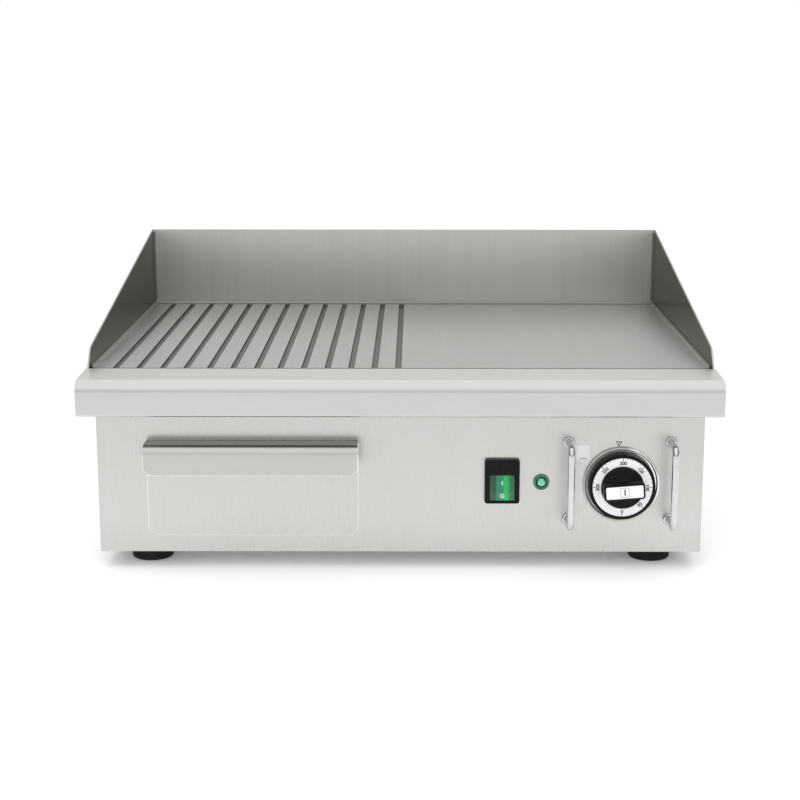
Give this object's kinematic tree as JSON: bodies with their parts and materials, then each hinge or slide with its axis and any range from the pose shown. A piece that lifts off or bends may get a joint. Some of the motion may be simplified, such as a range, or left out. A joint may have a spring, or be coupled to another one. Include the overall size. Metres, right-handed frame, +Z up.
{
  "type": "electric griddle",
  "caption": "Countertop electric griddle with a part-grooved hotplate, splash guards, drip drawer, rocker switch, pilot lamp and a thermostat knob between wire guards.",
  "frame": {"origin": "on the surface the feet stand on, below the middle of the overall box", "axes": "+X to the right seen from the front, +Y to the rear (the controls face -Y), +Z up"},
  "size_m": [0.55, 0.457, 0.25],
  "materials": {
    "brushed_stainless": "fine vertical brushing",
    "satin_stainless": "satin, brushed along the edge",
    "ground_steel": "fine ground, semi-matt",
    "galvanised_steel": "galvanised, matt",
    "chrome": "bright chrome plate",
    "polished_steel": "polished stainless",
    "zinc_plated": "zinc plated",
    "element_sheath": "dark oxidised sheath",
    "copper_tube": "bare copper",
    "black_plastic": "semi-gloss moulded",
    "grey_phenolic": "matt phenolic",
    "white_print": "satin printed insert",
    "green_lens": "translucent green, lit",
    "black_rubber": "matt moulded rubber",
    "mineral_wool": "fibrous mat",
    "ceramic": "unglazed ceramic"
  },
  "bodies": {
    "housing": {"front_panel": "brushed_stainless", "side_panel_left": "brushed_stainless", "side_panel_right": "brushed_stainless", "rear_panel": "brushed_stainless", "base_plate": "galvanised_steel", "front_apron": "satin_stainless", "splash_left": "satin_stainless", "splash_right": "satin_stainless", "splash_rear": "satin_stainless", "griddle_plate": "ground_steel", "drain_spout": "satin_stainless", "heating_element_left": "element_sheath", "heating_element_right": "element_sheath", "element_clamp_front": "galvanised_steel", "element_clamp_rear": "galvanised_steel", "heat_shield": "galvanised_steel", "insulation_mat": "mineral_wool", "drawer_rail_left": "galvanised_steel", "drawer_rail_right": "galvanised_steel", "rail_support": "galvanised_steel", "switch_housing": "black_plastic", "pilot_lamp_lens": "green_lens", "pilot_lamp_body": "black_plastic", "knob_escutcheon": "polished_steel", "thermostat_body": "grey_phenolic", "thermostat_sensor": "copper_tube", "knob_guard_left": "chrome", "knob_guard_right": "chrome", "cable_gland": "black_plastic", "gland_locknut": "black_plastic", "terminal_block": "ceramic", "high_limit_cutout": "ceramic", "earth_stud": "zinc_plated", "clamp_nut_front_left": "zinc_plated", "foot_front_left": "black_rubber", "foot_screw_front_left": "zinc_plated", "clamp_nut_front_right": "zinc_plated", "foot_front_right": "black_rubber", "foot_screw_front_right": "zinc_plated", "clamp_nut_rear_left": "zinc_plated", "foot_rear_left": "black_rubber", "foot_screw_rear_left": "zinc_plated", "clamp_nut_rear_right": "zinc_plated", "foot_rear_right": "black_rubber", "foot_screw_rear_right": "zinc_plated", "guard_ferrule_left_lower": "chrome", "guard_nut_left_lower": "zinc_plated", "guard_ferrule_left_upper": "chrome", "guard_nut_left_upper": "zinc_plated", "guard_ferrule_right_lower": "chrome", "guard_nut_right_lower": "zinc_plated", "guard_ferrule_right_upper": "chrome", "guard_nut_right_upper": "zinc_plated"},
    "drawer": {"drawer_front": "brushed_stainless", "drawer_tray": "brushed_stainless"},
    "knob": {"control_knob": "black_plastic", "knob_scale_ring": "white_print", "knob_label_bar": "white_print", "thermostat_shaft": "zinc_plated"},
    "rocker": {"switch_rocker": "green_lens"}
  },
  "joints": [
    {"name": "drawer_slide", "type": "slide", "parent": "housing", "child": "drawer", "axis": [0, -1, 0], "range_m": [0, 0.26]},
    {"name": "knob_turn", "type": "hinge", "parent": "housing", "child": "knob", "pos_m": [0.1908, -0.2095, 0.0765], "axis": [0, 1, 0], "range_deg": [-180, 90]},
    {"name": "rocker_tilt", "type": "hinge", "parent": "housing", "child": "rocker", "pos_m": [0.0878, -0.1995, 0.0736], "axis": [1, 0, 0], "range_deg": [0, 18]}
  ]
}
